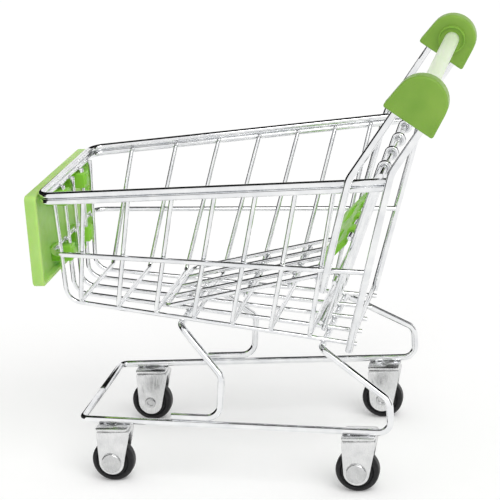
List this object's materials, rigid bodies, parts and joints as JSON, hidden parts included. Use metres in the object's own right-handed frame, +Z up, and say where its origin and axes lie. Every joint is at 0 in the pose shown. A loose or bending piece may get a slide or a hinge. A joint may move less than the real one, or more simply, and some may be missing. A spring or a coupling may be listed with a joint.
{
  "type": "shopping cart",
  "caption": "Miniature chrome-wire shopping cart with swivel casters, hinged rear gate, folding wire seat, green plastic nose plaque and handle brackets.",
  "frame": {"origin": "on the ground under the middle of the overall box", "axes": "+X towards the handle, +Y to the right side of someone pushing the cart forwards (towards -X), +Z up"},
  "size_m": [0.1652, 0.1224, 0.1662],
  "materials": {
    "chrome_wire": "bright plated wire",
    "zinc_steel": "bright zinc plated sheet",
    "green_plastic": "semi-gloss moulded plastic",
    "pale_tube": "milky translucent plastic",
    "black_wheel": "satin moulded plastic"
  },
  "bodies": {
    "cart": {"belt_wire": "chrome_wire", "bracket_left": "green_plastic", "bracket_right": "green_plastic", "caster_plate_fl": "zinc_steel", "caster_plate_fr": "zinc_steel", "caster_plate_rl": "zinc_steel", "caster_plate_rr": "zinc_steel", "chassis_loop": "chrome_wire", "floor_rear_wire": "chrome_wire", "floor_wire_1": "chrome_wire", "floor_wire_2": "chrome_wire", "floor_wire_3": "chrome_wire", "floor_wire_4": "chrome_wire", "floor_wire_5": "chrome_wire", "front_support": "chrome_wire", "handle_tube": "pale_tube", "hinge_rod": "chrome_wire", "nose_plaque": "green_plastic", "plaque_clips": "green_plastic", "post_wire_left": "chrome_wire", "post_wire_right": "chrome_wire", "rim_lower": "chrome_wire", "rim_upper": "chrome_wire", "side_wire_1": "chrome_wire", "side_wire_2": "chrome_wire", "side_wire_3": "chrome_wire", "side_wire_4": "chrome_wire", "side_wire_5": "chrome_wire", "side_wire_6": "chrome_wire", "side_wire_7": "chrome_wire", "swivel_pins": "zinc_steel", "swivel_washers": "zinc_steel"},
    "caster_fl": {"fork_fl": "zinc_steel", "axle_fl": "zinc_steel"},
    "wheel_body_fl": {"wheel_fl": "black_wheel"},
    "caster_fr": {"fork_fr": "zinc_steel", "axle_fr": "zinc_steel"},
    "wheel_body_fr": {"wheel_fr": "black_wheel"},
    "caster_rl": {"fork_rl": "zinc_steel", "axle_rl": "zinc_steel"},
    "wheel_body_rl": {"wheel_rl": "black_wheel"},
    "caster_rr": {"fork_rr": "zinc_steel", "axle_rr": "zinc_steel"},
    "wheel_body_rr": {"wheel_rr": "black_wheel"},
    "gate": {"gate_bars": "chrome_wire", "gate_foot_wire": "chrome_wire", "gate_seat_wire": "chrome_wire", "gate_flap_wire": "chrome_wire"},
    "seat": {"seat_loop": "chrome_wire", "seat_wires": "chrome_wire", "seat_cross_wires": "chrome_wire"},
    "flap": {"seat_flap": "green_plastic"}
  },
  "joints": [
    {"name": "swivel_fl", "type": "hinge", "parent": "cart", "child": "caster_fl", "pos_m": [-0.05671, -0.03164, 0.02307], "axis": [0, 0, 1], "continuous": true},
    {"name": "swivel_fr", "type": "hinge", "parent": "cart", "child": "caster_fr", "pos_m": [-0.05671, 0.03164, 0.02307], "axis": [0, 0, 1], "continuous": true},
    {"name": "swivel_rl", "type": "hinge", "parent": "cart", "child": "caster_rl", "pos_m": [0.04179, -0.03755, 0.02307], "axis": [0, 0, 1], "continuous": true},
    {"name": "swivel_rr", "type": "hinge", "parent": "cart", "child": "caster_rr", "pos_m": [0.04179, 0.03755, 0.02307], "axis": [0, 0, 1], "continuous": true},
    {"name": "roll_fl", "type": "hinge", "parent": "caster_fl", "child": "wheel_body_fl", "pos_m": [-0.05821, -0.03164, 0.0085], "axis": [0, 1, 0], "continuous": true},
    {"name": "roll_fr", "type": "hinge", "parent": "caster_fr", "child": "wheel_body_fr", "pos_m": [-0.05821, 0.03164, 0.0085], "axis": [0, 1, 0], "continuous": true},
    {"name": "roll_rl", "type": "hinge", "parent": "caster_rl", "child": "wheel_body_rl", "pos_m": [0.04029, -0.03755, 0.0085], "axis": [0, 1, 0], "continuous": true},
    {"name": "roll_rr", "type": "hinge", "parent": "caster_rr", "child": "wheel_body_rr", "pos_m": [0.04029, 0.03755, 0.0085], "axis": [0, 1, 0], "continuous": true},
    {"name": "gate_swing", "type": "hinge", "parent": "cart", "child": "gate", "pos_m": [0.05689, 0, 0.12887], "axis": [0, 1, 0], "range_deg": [0, 60]},
    {"name": "seat_fold", "type": "hinge", "parent": "gate", "child": "seat", "pos_m": [0.03429, 0, 0.08188], "axis": [0, 1, 0], "range_deg": [0, 95]},
    {"name": "flap_lift", "type": "hinge", "parent": "gate", "child": "flap", "pos_m": [0.04162, 0, 0.10049], "axis": [0, 1, 0], "range_deg": [0, 148]}
  ],
  "couplings": [
    {"joint": "flap_lift", "follows": "seat_fold", "ratio": 1.55}
  ]
}
